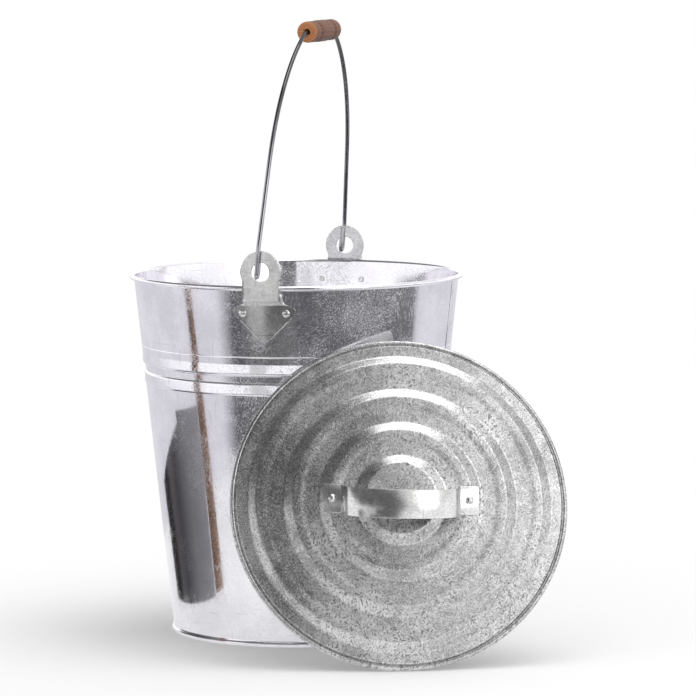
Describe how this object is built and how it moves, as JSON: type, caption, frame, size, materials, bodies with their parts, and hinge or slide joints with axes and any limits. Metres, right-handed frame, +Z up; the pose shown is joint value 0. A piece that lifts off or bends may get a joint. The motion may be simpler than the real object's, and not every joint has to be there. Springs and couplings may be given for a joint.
{
  "type": "ash bucket",
  "caption": "Tapered galvanised ash bucket with a swinging wire bail, turned wood grip and ringed lid with a strap handle, leaning on its side.",
  "frame": {"origin": "centre of the whole part's outline on the floor it stands on, lid included", "axes": "+Z up; the ears' line and the bail's hinge run along Y; the lid leans on the side between -Y and +X"},
  "size_m": [0.4335, 0.3986, 0.5677],
  "materials": {
    "bright_zinc": "bright hot-dip zinc, glossy and uneven",
    "mottled_zinc": "matte zinc with a mottled spangle and fine dark specks",
    "dull_zinc": "dull zinc, handled and spotted",
    "steel_wire": "drawn steel wire, smooth and grey",
    "turned_wood": "turned hardwood, oiled"
  },
  "bodies": {
    "bucket": {"bucket_body": "bright_zinc", "rim_wire": "steel_wire", "base_pan": "bright_zinc", "ear_front": "dull_zinc", "ear_rear": "dull_zinc", "ear_rivet_front_left": "dull_zinc", "ear_rivet_front_right": "dull_zinc", "ear_rivet_rear_left": "dull_zinc", "ear_rivet_rear_right": "dull_zinc"},
    "bail": {"bail_wire": "steel_wire"},
    "grip": {"wood_grip": "turned_wood"},
    "lid": {"lid_panel": "mottled_zinc", "lid_strap_handle": "dull_zinc", "lid_rivet_left": "dull_zinc", "lid_rivet_right": "dull_zinc"}
  },
  "joints": [
    {"name": "bail_swing", "type": "hinge", "parent": "bucket", "child": "bail", "pos_m": [-0.05746, 0.03277, 0.34203], "axis": [0, 1, 0], "range_deg": [-130, 104]},
    {"name": "grip_spin", "type": "hinge", "parent": "bail", "child": "grip", "pos_m": [-0.03859, 0.03277, 0.5577], "axis": [0, 1, 0], "continuous": true},
    {"name": "lid_lift_off", "type": "slide", "parent": "bucket", "child": "lid", "axis": [0.2916, -0.8869, 0.3584], "range_m": [0, 0.2]}
  ]
}
